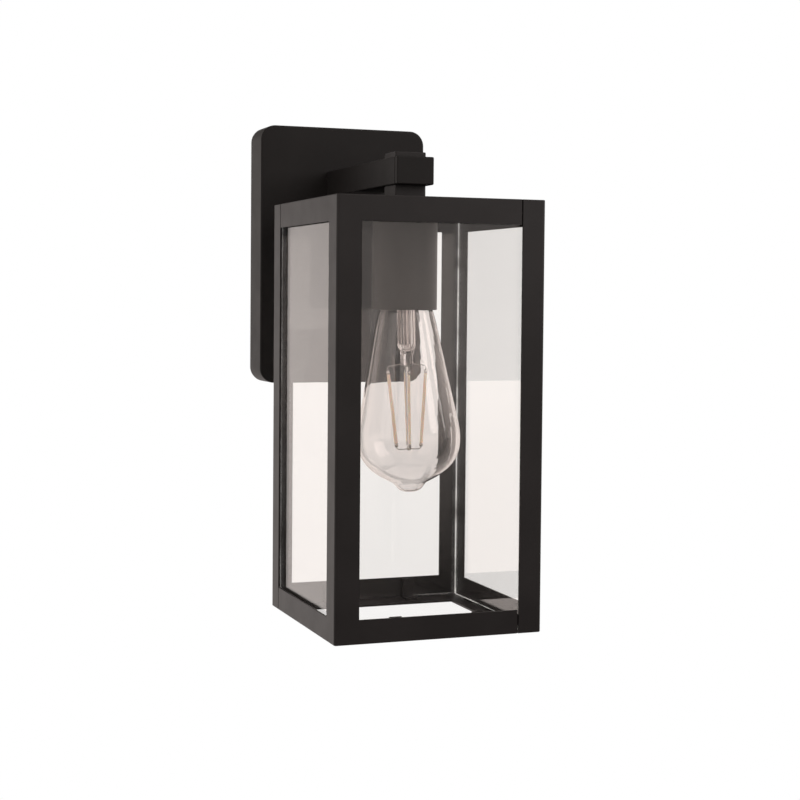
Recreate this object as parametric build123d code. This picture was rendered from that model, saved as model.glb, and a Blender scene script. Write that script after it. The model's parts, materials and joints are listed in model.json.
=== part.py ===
from build123d import *
import os
from math import cos, pi, radians, sin

os.makedirs("parts", exist_ok=True)

# Outdoor wall lantern: a square glazed box of folded sheet steel that hangs from a short arm.
# Millimetres. The origin is the centre of the wall plate on the wall plane.
# +Z is up, the wall is the plane Y = 0 and the lantern's front looks along -Y.

# --- driving dimensions -------------------------------------------------------------------
# wall plate (canopy)
plate_width = 117.0
plate_height = 174.0
plate_depth = 27.0
plate_corner = 10.0
plate_wall = 2.0
gasket_thick = 1.5
gasket_width = 2.2
plate_edge = 1.2

# square glazed body
body_side = 130.0
body_height = 258.0
body_top = 30.0
body_gap = 81.5
sheet = 1.2
strip = 15.0
low_rail = 14.2
back_ledge = 22.5
fold_radius = 1.6
top_edge = 0.6
bottom_edge = 0.8
seam_gap = 0.9
strap_thick = 1.0
strap_height = 6.4
strap_reach = 7.0

# glass
glass = 3.0
glass_inset = 1.4
pad_thick = 0.6
pad_width = 10.0
pad_offset = 36.0
tab_width = 7.5
tab_thick = 1.0
tab_foot = 8.0
tab_offset = 26.0

# arm and neck
arm_width = 24.0
arm_height = 17.0
arm_bottom = 40.0
arm_front = -165.0
arm_cap_thick = 4.5
arm_seam = 0.3
seam_edge = 0.5
tube_edge = 0.9
tube_wall = 1.5
neck_side = 20.0
neck_top = 60.4
plug_head = 2.0

# hollow threaded nipples, M10
nipple_radius = 5.0
nipple_bore = 3.6
nipple_fit = 0.05
nipple_clearance = 0.1
nut_flats = 14.0
nut_thick = 4.0
washer_thick = 0.8
washer_radius = 9.0
washer_teeth = 12

# lampholder and its cup
cup_radius = 20.0
cup_wall = 1.2
cup_bottom = -36.0
holder_radius = 17.2
holder_bottom = -29.0
holder_top = 18.0
shell_radius = 13.95
shell_wall = 0.5

# lamp with an E27 cap: overall length, greatest radius, and how far it leans in its holder
lamp_length = 146.0
lamp_tip = -149.0
lamp_radius = 32.0
lamp_lean = 2.0
lamp_skin = 0.8
cap_length = 27.0
cap_radius = 13.1
thread_pitch = 3.629
thread_depth = 0.8

# wires
wire_radius = 0.95
wire_pair = 1.3

# screws: M4 for the canopy and the earth, M3 for the terminal block
m4_radius = 2.0
m4_hole = 2.1
m3_radius = 1.5
m3_hole = 1.6

# --- values worked out from them ----------------------------------------------------------
body_bottom = body_top - body_height
body_back = -body_gap
body_front = body_back - body_side
axis_y = body_back - body_side / 2
half = body_side / 2
window = half - strip
arm_mid = arm_bottom + arm_height / 2
roof_under = body_top - 1.5
pane_out = half - sheet - glass_inset
pane_low = body_bottom + sheet + pad_thick
pane_high = roof_under - 1.0
roof_flange = 8.0


def block(x0, x1, y0, y1, z0, z1):
    """A box between two corners."""
    size = (x1 - x0, y1 - y0, z1 - z0)
    centre = ((x0 + x1) / 2, (y0 + y1) / 2, (z0 + z1) / 2)
    return Pos(*centre) * Box(*size)


def upright(radius, z0, z1, x=0.0, y=axis_y):
    """A cylinder along Z."""
    return Pos(x, y, (z0 + z1) / 2) * Cylinder(radius, z1 - z0)


def level(radius, y0, y1, x=0.0, z=0.0):
    """A cylinder along Y."""
    return Pos(x, (y0 + y1) / 2, z) * Rot(90, 0, 0) * Cylinder(radius, y1 - y0)


def hexagon(flats, thick):
    """A hexagonal prism along Z, centred."""
    return extrude(RegularPolygon(flats / 2, 6, major_radius=False), thick / 2, both=True)


def plate_slab(width, height, corner, y0, y1, x=0.0, z=0.0):
    """A slab that lies in the XZ plane, with rounded corners."""
    outline = Plane.XZ * RectangleRounded(width, height, corner)
    return Pos(x, y1, z) * extrude(outline, y1 - y0)


def screw(radius, length, head_radius, head_height, slot=0.9):
    """A slotted cheese-head screw along Z: the head's underside is at Z = 0, the shank below."""
    head = Pos(0, 0, head_height / 2) * Cylinder(head_radius, head_height)
    head = fillet(head.edges().group_by(Axis.Z)[-1], head_height * 0.25)
    head -= Pos(0, 0, head_height) * Box(3 * head_radius, slot, head_height)
    shank = Pos(0, 0, -length / 2) * Cylinder(radius, length)
    return head + shank


def save(node, *solids):
    """Write one node; several solids stay separate inside it."""
    shape = solids[0] if len(solids) == 1 else Compound(children=list(solids))
    shape.label = node
    export_step(shape, "parts/" + node + ".step")


# --- wall plate ---------------------------------------------------------------------------
screw_y = -9.0
screw_z = plate_height / 2
plate_width_in = plate_width - 2 * plate_wall
plate_height_in = plate_height - 2 * plate_wall
ear_thick = 1.5
ear_width = 22.0
ear_foot = 14.0
ear_front = -16.0
ear_z = plate_height_in / 2 - 0.6
mount_plate_thick = 1.5
mount_plate_width = 100.0
mount_plate_corner = 6.0
countersink_radius = 4.2
countersink_depth = 2.0
slot_spacing = 70.0
slot_length = 15.0
slot_width = 5.0
entry_z = -24.0
entry_radius = 4.0
grommet_radius = 6.0
terminal_z = -52.0


def canopy_shell():
    """Open-backed rounded box with a hole for the arm's nipple and two countersunk screw holes."""
    outer = plate_slab(plate_width, plate_height, plate_corner, -plate_depth, -gasket_thick)
    outer = fillet(outer.faces().sort_by(Axis.Y)[0].edges(), plate_edge)
    hollow = plate_slab(plate_width_in, plate_height_in, plate_corner - plate_wall,
                        -plate_depth + plate_wall, 0)
    hole_radius = nipple_radius + nipple_clearance
    shell = outer - hollow - level(hole_radius, -plate_depth - 1, -plate_depth + 2 * plate_wall, z=arm_mid)
    for side in (1, -1):
        shell -= at_screw(side) * Cylinder(m4_hole, 10)
        shell -= at_screw(side) * Pos(0, 0, -countersink_depth / 2) * Cone(m4_hole, countersink_radius,
                                                                           countersink_depth)
    return shell


def at_screw(side):
    """Place of a canopy screw in the plate's top (1) or bottom (-1) edge, head outwards."""
    return Pos(0, screw_y, side * screw_z) * Rot(0 if side > 0 else 180, 0, 0)


def canopy_screw(side):
    """Countersunk M4 screw with a cross recess, flush with the plate's edge."""
    head_height = countersink_depth - 0.1
    length = 10.0
    recess = 4.4
    blade = 0.8
    body = Pos(0, 0, -0.1 - head_height / 2) * Cone(m4_radius, countersink_radius - 0.2, head_height)
    body += Pos(0, 0, -(countersink_depth + length) / 2) * Cylinder(m4_radius, length - countersink_depth)
    for size in ((recess, blade, 1.2), (blade, recess, 1.2)):
        body -= Pos(0, 0, -0.4) * Box(*size)
    return at_screw(side) * body


def mounting_plate():
    """Flat steel plate screwed to the wall, with slots, the cable hole and tapped holes."""
    plate = plate_slab(mount_plate_width, 2 * ear_z, mount_plate_corner, -mount_plate_thick, 0)
    for side in (1, -1):
        slot = Plane.XZ * SlotOverall(slot_length, slot_width)
        plate -= Pos(side * slot_spacing / 2, 1, 0) * extrude(slot, 4)
    plate -= level(grommet_radius + 0.1, -5, 1, z=entry_z)
    plate -= level(m4_hole - 0.05, -5, 1, x=earth_x, z=earth_z)
    for x in block_screws_x:
        plate -= level(m3_radius + 0.05, -5, 1, x=x, z=terminal_z)
    return plate


def mounting_ear(side):
    """Angle bracket spot-welded to the mounting plate; a canopy screw goes into its leg."""
    low, high = sorted((side * (ear_z - ear_foot), side * ear_z))
    reach = ear_width / 2
    foot = block(-reach, reach, -mount_plate_thick - ear_thick, -mount_plate_thick, low, high)
    low, high = sorted((side * (ear_z - ear_thick), side * ear_z))
    leg = block(-reach, reach, ear_front, -mount_plate_thick, low, high)
    return foot + leg - upright(m4_radius + 0.05, low - 1, high + 1, y=screw_y)


def wall_gasket():
    """Rubber ring between the canopy's rim and the wall."""
    outer = plate_slab(plate_width - 0.5, plate_height - 0.5, plate_corner - 0.25, -gasket_thick, 0)
    inner = plate_slab(plate_width - 2 * gasket_width, plate_height - 2 * gasket_width,
                       plate_corner - gasket_width, -2 * gasket_thick, 1)
    return outer - inner


def cable_grommet():
    """Rubber bush in the mounting plate: barrel, flange and bore."""
    barrel = level(grommet_radius, -mount_plate_thick - 4.5, 0, z=entry_z)
    barrel += level(grommet_radius + 2.0, -mount_plate_thick - 2.0, -mount_plate_thick, z=entry_z)
    return barrel - level(entry_radius, -10, 1, z=entry_z)


# --- terminals inside the wall plate ------------------------------------------------------
pole_step = 10.0
block_half_height = 9.0
block_front = -17.0
pole_y = -8.5
sleeve_radius = 2.2
sleeve_bore = 1.5
earth_x = 34.0
earth_z = -34.0
poles = (-pole_step, 0.0, pole_step)
pole_screws_z = (terminal_z - 5, terminal_z + 5)
block_half_width = 17.0
block_screws_x = (-5.0, 5.0)
block_screw_seat = block_front + 4
clamp_bore = 1.3
clamp_head = 1.8


def terminal_block():
    """Three-pole block with wire bores along Z and screw wells from the front."""
    body = block(-block_half_width, block_half_width, block_front, -mount_plate_thick,
                 terminal_z - block_half_height, terminal_z + block_half_height)
    body = fillet(body.edges().filter_by(Axis.Y), 1.5)
    for x in poles:
        body -= upright(sleeve_radius, terminal_z - 12, terminal_z + 12, x=x, y=pole_y)
        for z in pole_screws_z:
            body -= level(clamp_head + 0.1, block_front - 1, pole_y, x=x, z=z)
    for x in block_screws_x:
        body -= level(m3_hole, block_front - 1, 0, x=x, z=terminal_z)
        body -= level(2 * m3_radius, block_front - 1, block_screw_seat, x=x, z=terminal_z)
    return body


def terminal_sleeve(x):
    """Brass sleeve of one pole, tapped for its two clamping screws."""
    tube = upright(sleeve_radius - 0.05, terminal_z - 8, terminal_z + 8, x=x, y=pole_y)
    tube -= upright(sleeve_bore, terminal_z - 9, terminal_z + 9, x=x, y=pole_y)
    for z in pole_screws_z:
        tube -= level(clamp_bore, pole_y - 4, pole_y, x=x, z=z)
    return tube


def front_screw(x, y, z, radius, length, head_radius, head_height):
    """A screw whose head looks to the front, with the head's underside at y."""
    return Pos(x, y, z) * Rot(90, 0, 0) * screw(radius, length, head_radius, head_height)


def earth_ring():
    """Crimped ring terminal: an eye under the earth screw and a barrel on the wire."""
    y0 = -mount_plate_thick - 2 * washer_thick
    eye = level(2 * m4_hole, y0, y0 + washer_thick, x=earth_x, z=earth_z)
    eye -= level(m4_hole, y0 - 1, y0 + 2, x=earth_x, z=earth_z)
    tail = block(earth_x - 1.6, earth_x + 1.6, y0, y0 + washer_thick, earth_z + 3.8, earth_z + 9)
    barrel = upright(1.9, earth_z + 8.5, earth_z + 15, x=earth_x, y=y0 - 1.0)
    barrel -= upright(wire_radius + 0.05, earth_z + 10, earth_z + 16, x=earth_x, y=y0 - 1.0)
    return eye + tail + barrel


# --- arm ----------------------------------------------------------------------------------
arm_tube_front = arm_front + arm_cap_thick
arm_in_width = arm_width - 2 * tube_wall
arm_in_height = arm_height - 2 * tube_wall
rear_plug_front = -plate_depth - 9.0
arm_nipple_back = -11.5
arm_nipple_front = rear_plug_front + 1.5


def arm_tube():
    """Rectangular tube from the wall plate forward, with square holes for the neck."""
    tube = block(-arm_width / 2, arm_width / 2, arm_tube_front, -plate_depth,
                 arm_bottom, arm_bottom + arm_height)
    tube = fillet(tube.edges().filter_by(Axis.Y), tube_edge)
    tube = fillet(tube.faces().sort_by(Axis.Y)[0].edges(), seam_edge)
    tube -= block(-arm_in_width / 2, arm_in_width / 2, arm_tube_front - 1, 0,
                  arm_bottom + tube_wall, arm_bottom + arm_height - tube_wall)
    reach = neck_side / 2 + 0.05
    return tube - block(-reach, reach, axis_y - reach, axis_y + reach, 0, 100)


def arm_end_cap():
    """Cap that closes the arm's front end, with a spigot inside the tube."""
    back = arm_tube_front - arm_seam
    head = block(-arm_width / 2, arm_width / 2, arm_front, back, arm_bottom, arm_bottom + arm_height)
    head = fillet(head.edges().filter_by(Axis.Y), tube_edge)
    head = fillet(head.faces().sort_by(Axis.Y)[0].edges(), 0.8)
    head = fillet(head.faces().sort_by(Axis.Y)[-1].edges(), seam_edge)
    reach = arm_in_width / 2 - 0.1
    low = arm_bottom + tube_wall + 0.1
    high = arm_bottom + arm_height - tube_wall - 0.1
    return head + block(-reach, reach, back - 1, axis_y - neck_side / 2 - 0.4, low, high)


def arm_rear_plug():
    """Plug welded in the arm's rear end and tapped for the nipple."""
    plug = block(-arm_in_width / 2, arm_in_width / 2, rear_plug_front, -plate_depth,
                 arm_bottom + tube_wall, arm_bottom + arm_height - tube_wall)
    return plug - level(nipple_radius + nipple_fit, rear_plug_front - 1, 0, z=arm_mid)


def tube_along_y(y0, y1):
    """Hollow M10 nipple along Y."""
    tube = level(nipple_radius, y0, y1, z=arm_mid)
    tube = chamfer(tube.edges(), 0.5)
    return tube - level(nipple_bore, y0 - 1, y1 + 1, z=arm_mid)


def lock_washer():
    """Toothed lock washer, centred, along Z."""
    ring = Cylinder(washer_radius, washer_thick) - Cylinder(nipple_radius + nipple_fit, 2)
    for k in range(washer_teeth):
        ring -= Rot(0, 0, 360 / washer_teeth * k) * Pos(washer_radius + 0.2, 0, 0) * Box(2.2, 1.4, 2)
    return ring


def lock_nut():
    """Hexagonal lock nut, centred, along Z."""
    body = hexagon(nut_flats, nut_thick) & Cylinder(nut_flats * 0.56, nut_thick)
    return body - Cylinder(nipple_radius + nipple_fit, 10)


# --- neck ---------------------------------------------------------------------------------
foot_plug_height = 8.0
wire_hole = 5.2
neck_in = neck_side - 2 * tube_wall


def neck_post():
    """Square tube that stands on the roof and passes up through the arm."""
    post = block(-neck_side / 2, neck_side / 2, axis_y - neck_side / 2, axis_y + neck_side / 2,
                 body_top, neck_top - plug_head)
    post = fillet(post.edges().filter_by(Axis.Z), tube_edge)
    post -= block(-neck_in / 2, neck_in / 2, axis_y - neck_in / 2, axis_y + neck_in / 2, 0, 100)
    return post - level(wire_hole, axis_y, axis_y + neck_side, z=arm_mid)


def neck_top_plug():
    """Cap pressed into the top of the neck."""
    head = block(-neck_side / 2, neck_side / 2, axis_y - neck_side / 2, axis_y + neck_side / 2,
                 neck_top - plug_head, neck_top)
    head = fillet(head.edges().filter_by(Axis.Z), tube_edge)
    head = fillet(head.faces().sort_by(Axis.Z)[-1].edges(), 0.7)
    reach = neck_in / 2 - 0.1
    return head + block(-reach, reach, axis_y - reach, axis_y + reach, neck_top - 5, neck_top - 1)


def neck_foot_plug():
    """Plug welded in the foot of the neck and tapped for the nipple."""
    reach = neck_in / 2
    plug = block(-reach, reach, axis_y - reach, axis_y + reach, body_top, body_top + foot_plug_height)
    return plug - upright(nipple_radius + nipple_fit, 0, 100)


# --- body ---------------------------------------------------------------------------------
def body_skin():
    """The four walls with their window openings and the ledge that carries the glass."""
    skin = block(-half, half, body_front, body_back, body_bottom, body_top)
    skin = fillet(skin.edges().filter_by(Axis.Z), fold_radius)
    skin = fillet(skin.faces().sort_by(Axis.Z)[-1].edges(), top_edge)
    skin = fillet(skin.faces().sort_by(Axis.Z)[0].edges(), bottom_edge)
    inner = half - sheet
    skin -= block(-inner, inner, axis_y - inner, axis_y + inner, body_bottom + sheet, body_top + 1)
    skin -= block(-window, window, body_front + strip, body_back - back_ledge,
                  body_bottom - 1, body_bottom + 5)
    low, high = body_bottom + low_rail, body_top - strip
    skin -= block(-window, window, body_front - 1, body_back + 1, low, high)
    skin -= block(-half - 1, half + 1, axis_y - window, axis_y + window, low, high)
    return skin


def front_left_region():
    """Space that holds the front and left walls up to the two seams."""
    deep = body_bottom - 1
    tall = body_top + 1
    gap = seam_gap / 2
    front = block(-half - 1, window - gap, body_front - 1, body_front + strip, deep, tall)
    left = block(-half - 1, -window, body_front - 1, axis_y + window - gap, deep, tall)
    return front + left


def back_right_region():
    """Space that holds the right and back walls, with their returns up to the two seams."""
    deep = body_bottom - 1
    tall = body_top + 1
    gap = seam_gap / 2
    right = block(window + gap, half + 1, body_front - 1, body_back + 1, deep, tall)
    back = block(-half - 1, half + 1, axis_y + window + gap, body_back + 1, deep, tall)
    ledge = block(-window, window + 1, body_back - back_ledge, body_back, deep, body_bottom + 5)
    return right + back + ledge


def seam_straps():
    """Straps spot-welded behind the four rail-to-post seams."""
    straps = []
    y0 = body_front + sheet
    x0 = -half + sheet
    near = window - strap_reach
    far = window + strap_reach
    for middle in (body_top - strip + 3.3, body_bottom + low_rail / 2 + 1.0):
        z0 = middle - strap_height / 2
        z1 = middle + strap_height / 2
        straps.append(block(near, far, y0, y0 + strap_thick, z0, z1))
        straps.append(block(x0, x0 + strap_thick, axis_y + near, axis_y + far, z0, z1))
    return straps


def roof_pan():
    """Roof plate with downturned flanges that stand inside the walls."""
    reach = half - sheet - 0.1
    pan = block(-reach, reach, axis_y - reach, axis_y + reach, body_top - roof_flange, body_top)
    reach -= sheet
    pan -= block(-reach, reach, axis_y - reach, axis_y + reach, body_top - 12, roof_under)
    return pan - upright(nipple_radius + nipple_clearance, 0, 100)


# --- glass --------------------------------------------------------------------------------
def wide_pane(side):
    """Front or back pane, the full width of the body; its long edges are ground."""
    y0, y1 = sorted((axis_y + side * pane_out, axis_y + side * (pane_out - glass)))
    pane = block(-pane_out, pane_out, y0, y1, pane_low, pane_high)
    return chamfer(pane.edges().filter_by(Axis.Z), 0.4)


def side_pane(side):
    """Left or right pane, which fits between the front and back panes."""
    x0, x1 = sorted((side * pane_out, side * (pane_out - glass)))
    reach = pane_out - glass - 0.3
    pane = block(x0, x1, axis_y - reach, axis_y + reach, pane_low, pane_high)
    return chamfer(pane.edges().filter_by(Axis.Z), 0.4)


def around(make, offset, turns=range(4)):
    """Copies of a piece made for the front wall, turned to the other walls, at +-offset."""
    pieces = []
    for turn in turns:
        for x in (-offset, offset):
            pieces.append(Pos(0, axis_y, 0) * Rot(0, 0, 90 * turn) * Pos(x, 0, 0) * make())
    return pieces


def glass_pad():
    """Rubber pad under a pane; y is measured from the body's axis."""
    y0 = -pane_out - 0.2
    return block(-pad_width / 2, pad_width / 2, y0, y0 + glass + 0.4, body_bottom + sheet, pane_low)


def glass_tab():
    """Bent clip behind the front or back pane, fixed to the ledge; those panes hold the side panes."""
    reach = tab_width / 2
    y0 = -(pane_out - glass) + 0.25
    ledge = body_bottom + sheet
    rise = block(-reach, reach, y0, y0 + tab_thick, ledge, body_bottom + low_rail - 0.3)
    foot = block(-reach, reach, y0, y0 + tab_foot, ledge, ledge + tab_thick)
    return rise + foot


# --- lampholder ---------------------------------------------------------------------------
cup_top = roof_under - 1.0
nut_high = cup_top - cup_wall - washer_thick
roof_nipple_low = 13.5
roof_nipple_high = body_top + 7.0
holder_floor = 0.0
cavity_low = 2.0
cavity_high = 13.0
cavity_radius = 13.5
terminal_mid = 5.0


def holder_cup():
    """Round cup that hides the lampholder."""
    cup = upright(cup_radius, cup_bottom, cup_top)
    cup = fillet(cup.edges().group_by(Axis.Z)[-1], 1.0)
    cup = fillet(cup.edges().group_by(Axis.Z)[0], 0.5)
    cup -= upright(cup_radius - cup_wall, cup_bottom - 1, cup_top - cup_wall)
    return cup - upright(nipple_radius + nipple_clearance, 0, 100)


def holder_body():
    """Insulating body: shell bore below, wiring chamber above, tapped top."""
    body = upright(holder_radius, holder_bottom, holder_top)
    body = fillet(body.edges().group_by(Axis.Z)[-1], 3.0)
    body -= upright(shell_radius + shell_wall + 0.05, holder_bottom - 1, holder_floor)
    body -= upright(cavity_radius, cavity_low, cavity_high)
    body -= upright(nipple_radius + nipple_fit, cavity_high - 1, holder_top + 1)
    body -= upright(1.05, holder_floor - 1, cavity_low + 1, x=-10)
    for side in (1, -1):
        hole = Pos(side * holder_radius, axis_y, terminal_mid) * Rot(0, 90, 0)
        body -= hole * Cylinder(1.9, 12)
    return body


def holder_shell():
    """Brass shell that takes the lamp's thread."""
    tube = upright(shell_radius + shell_wall, holder_bottom + 1, holder_floor)
    return tube - upright(shell_radius, holder_bottom, holder_floor + 1)


def holder_contact():
    """Sprung centre contact: a tongue on a rivet through the holder's floor."""
    tongue = block(-12, 3.5, axis_y - 2.5, axis_y + 2.5, holder_floor - 2.6, holder_floor - 2.1)
    seat = block(-12, -8, axis_y - 2.5, axis_y + 2.5, holder_floor - 2.2, holder_floor)
    rivet = upright(1.0, holder_floor - 1, cavity_low, x=-10)
    return tongue + seat + rivet


def holder_terminal(side):
    """Brass clamp in the wiring chamber with a bore for one wire."""
    x0, x1 = sorted((side * 7.0, side * 12.8))
    body = block(x0, x1, axis_y - 3, axis_y + 3, cavity_low, cavity_low + 6)
    bore = Pos(side * 9.0, axis_y, terminal_mid) * Rot(0, 90, 0)
    return body - bore * Cylinder(1.3, 12)


def holder_terminal_screw(side):
    """Clamping screw that is reached through the body's side."""
    turned = Pos(side * 14.6, axis_y, terminal_mid) * Rot(0, 90 * side, 0)
    return turned * screw(1.2, 4.0, 1.8, 1.6, slot=0.5)


# --- lamp ---------------------------------------------------------------------------------
cap_top = lamp_length
cap_bottom = lamp_length - cap_length
stem_end = 86.0
pinch_end = 78.0
stick_top = 76.0
stick_bottom = 28.0
stick_ring_top = 11.8
stick_ring_bottom = 7.6
stick_radius = 0.9
stick_turn = -15.0
lead_radius = 0.3
neck_radius = 12.3


def glass_outline(inset):
    """Half section of the bulb from the tip nub up to the neck; inset moves it inwards."""
    tip = (0, inset)
    nub = (8.2 - inset, 5.0 + 0.3 * inset)
    waist = (11.5 - inset, 7.2 + inset)
    belly = (lamp_radius - inset, 33.0)
    cone_low = (30.3 - inset, 46.0)
    cone_high = (17.6 - inset, 110.0)
    collar = (neck_radius - inset, cap_bottom + 0.5)
    top = (neck_radius - inset, cap_bottom + 4.0)
    nub_arc = ThreePointArc(tip, (5.4 - 0.7 * inset, 1.7 + 0.8 * inset), nub)
    neck_in_line = Line(nub, waist)
    bowl = Spline(waist, (25.4 - inset, 15.6 + 0.6 * inset), belly, cone_low,
                  tangents=[(2.2, 1.0), (-0.198, 1.0)])
    cone = Line(cone_low, cone_high)
    shoulder = Spline(cone_high, collar, tangents=[(-0.198, 1.0), (0, 1.0)])
    rim = Line(collar, top)
    return [nub_arc, neck_in_line, bowl, cone, shoulder, rim], tip, top


def bulb_glass():
    """Clear glass envelope, open at the neck."""
    outer, tip_out, top_out = glass_outline(0.0)
    inner, tip_in, top_in = glass_outline(lamp_skin)
    edges = outer + inner + [Line(tip_out, tip_in), Line(top_out, top_in)]
    return revolve(Plane.XZ * make_face(edges), Axis.Z)


def bulb_cap():
    """Threaded metal cap: a thin shell with rolled thread rings that closes in to the insulator."""
    turns = 5
    low = cap_bottom + 2.2
    root = cap_radius - thread_depth
    wall = root - 1.0
    rings = []
    for k in range(turns):
        start = low + k * thread_pitch
        crest = (cap_radius, start + thread_pitch / 2)
        rings.append(ThreePointArc((root, start), crest, (root, start + thread_pitch)))
    high = low + turns * thread_pitch
    skirt = Polyline((neck_radius + 0.05, cap_bottom), (root + 0.6, cap_bottom), (root, low))
    close = Polyline((root, high), (8.8, cap_top - 2.6), (8.2, cap_top - 2.6), (8.2, cap_top - 3.6),
                     (wall, high - 0.6), (wall, low + 3.4), (neck_radius + 0.05, low + 2.6),
                     (neck_radius + 0.05, cap_bottom))
    return revolve(Plane.XZ * make_face([skirt] + rings + [close]), Axis.Z)


def bulb_insulator():
    """Dark glass disc between the cap and the tip contact."""
    disc = Pos(0, 0, cap_top - 2.6) * Cone(8.1, 5.2, 3.2)
    return disc - Pos(0, 0, cap_top) * Cylinder(4.75, 4.1)


def bulb_contact():
    """Round solder contact at the top of the lamp."""
    button = Pos(0, 0, cap_top - 1.0) * Cylinder(4.7, 2.0)
    return fillet(button.edges().group_by(Axis.Z)[-1], 0.9)


def bulb_stem():
    """Fluted glass stem: flare in the neck, tube, pinch and centre rod."""
    flare = Pos(0, 0, cap_bottom + 1.8) * Cone(5.9, neck_radius - lamp_skin - 0.1, 3.0)
    tube = Pos(0, 0, (stem_end + cap_bottom + 0.5) / 2) * Cylinder(5.9, cap_bottom + 0.5 - stem_end)
    tube = fillet(tube.edges().group_by(Axis.Z)[0], 2.0)
    bore = Pos(0, 0, (stem_end + 5 + cap_bottom + 5) / 2) * Cylinder(4.9, cap_bottom - stem_end)
    pinch = block(-4.0, 4.0, -1.6, 1.6, pinch_end, stem_end + 1)
    pinch = fillet(pinch.edges().filter_by(Axis.Z), 1.2)
    rod = Pos(0, 0, (pinch_end + stick_bottom - 1.5) / 2) * Cylinder(1.0, pinch_end - stick_bottom + 1.5)
    return (flare + tube - bore) + pinch + rod


def stick_ends():
    """Top and bottom points of the four filament sticks."""
    ends = []
    for k in range(4):
        angle = radians(90 * k + stick_turn)
        out = Vector(cos(angle), sin(angle), 0)
        ends.append((out * stick_ring_top + Vector(0, 0, stick_top),
                     out * stick_ring_bottom + Vector(0, 0, stick_bottom)))
    return ends


def rod_between(a, b, radius):
    """A round rod from point a to point b."""
    path = Line(a, b)
    return sweep(Plane(origin=a, z_dir=b - a) * Circle(radius), path)


def bulb_filaments():
    """Four coated filament sticks."""
    return [rod_between(top, low, stick_radius) for top, low in stick_ends()]


def bulb_leads():
    """Spider wires that hold the sticks: four from the pinch and a cross at the bottom."""
    leads = []
    gap = 0.3
    for top, low in stick_ends():
        along = (top - low).normalized()
        hook_top = top + along * gap
        out = Vector(top.X, top.Y, 0).normalized()
        leads.append(rod_between(out * 4.4 + Vector(0, 0, pinch_end + 2.0), hook_top, lead_radius))
        hook_low = low - along * gap
        leads.append(rod_between(out * 1.35 + Vector(0, 0, hook_low.Z - 0.2), hook_low, lead_radius))
    return leads


def seat_lamp(shape):
    """Stand the lamp in its holder, cap up, leaning about the middle of its cap."""
    pivot = lamp_length - cap_length / 2
    return Pos(0, axis_y, lamp_tip + pivot) * Rot(0, -lamp_lean, 0) * Pos(0, 0, -pivot) * shape


# --- wires --------------------------------------------------------------------------------
def wire(points, radii):
    """Insulated wire: straight runs joined by tangent arcs."""
    path = FilletPolyline(*points, radius=radii)
    start = path.edges().sort_by_distance(points[0])[0]
    heading = start % 0
    solid = sweep(Plane(origin=points[0], z_dir=heading) * Circle(wire_radius), path)
    expected = pi * wire_radius ** 2 * path.length
    print("wire length", round(path.length, 1), "volume over expected", round(solid.volume / expected, 4))
    return solid


def holder_wire(side, pole):
    """Wire from a terminal pole, through the arm and the neck, to the lampholder."""
    x = side * wire_pair
    points = [(pole, pole_y, terminal_z + 3), (pole, pole_y, terminal_z + 22),
              (side * 7, -7.5, 5), (x, -5, arm_mid), (x, axis_y, arm_mid),
              (x, axis_y, terminal_mid), (side * 8.5, axis_y, terminal_mid)]
    return wire(points, [12, 18, 6.4, 7.5, 4.5])


def earth_wire():
    """Wire from the third pole to the ring terminal."""
    ring_y = -mount_plate_thick - 2 * washer_thick - 1.0
    points = [(pole_step, pole_y, terminal_z + 3), (pole_step, pole_y, terminal_z + 20),
              (22, -6.5, -12), (earth_x, ring_y, -10), (earth_x, ring_y, earth_z + 11)]
    return wire(points, [8, 8, 5])


# --- write the nodes ----------------------------------------------------------------------
save("canopy_shell", canopy_shell())
save("canopy_screws", canopy_screw(1), canopy_screw(-1))
save("wall_gasket", wall_gasket())
save("mounting_plate", mounting_plate())
save("mounting_ears", mounting_ear(1), mounting_ear(-1))
save("cable_grommet", cable_grommet())
save("terminal_block", terminal_block())
save("terminal_sleeves", *[terminal_sleeve(x) for x in poles])
save("terminal_screws", *[front_screw(x, pole_y - 3.5, z, 1.2, 1.8, clamp_head, 1.6)
                          for x in poles for z in pole_screws_z])
save("terminal_block_screws", *[front_screw(x, block_screw_seat, terminal_z, m3_radius,
                                            -block_screw_seat, 2.8, 2.0) for x in block_screws_x])
earth_face = -mount_plate_thick - 2 * washer_thick
save("earth_screw", front_screw(earth_x, earth_face, earth_z, m4_radius, -earth_face, 3.8, 2.4))
washer = level(2 * m4_radius, earth_face + washer_thick, -mount_plate_thick, x=earth_x, z=earth_z)
save("earth_washer", washer - level(m4_hole, -10, 1, x=earth_x, z=earth_z))
save("earth_ring", earth_ring())

save("arm_tube", arm_tube())
save("arm_end_cap", arm_end_cap())
save("arm_rear_plug", arm_rear_plug())
save("arm_nipple", tube_along_y(arm_nipple_front, arm_nipple_back))
inner_face = -plate_depth + plate_wall
washer_place = Pos(0, inner_face + washer_thick / 2, arm_mid) * Rot(90, 0, 0)
save("arm_lock_washer", washer_place * lock_washer())
nut_place = Pos(0, inner_face + washer_thick + nut_thick / 2, arm_mid) * Rot(90, 0, 0)
save("arm_lock_nut", nut_place * lock_nut())

save("neck_post", neck_post())
save("neck_top_plug", neck_top_plug())
save("neck_foot_plug", neck_foot_plug())

skin = body_skin()
save("front_left_frame", skin & front_left_region())
save("back_right_frame", skin & back_right_region())
save("seam_straps", *seam_straps())
save("roof_pan", roof_pan())
save("front_pane", wide_pane(-1))
save("back_pane", wide_pane(1))
save("left_pane", side_pane(-1))
save("right_pane", side_pane(1))
save("glass_pads", *around(glass_pad, pad_offset))
save("glass_tabs", *around(glass_tab, tab_offset, turns=(0, 2)))

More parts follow.
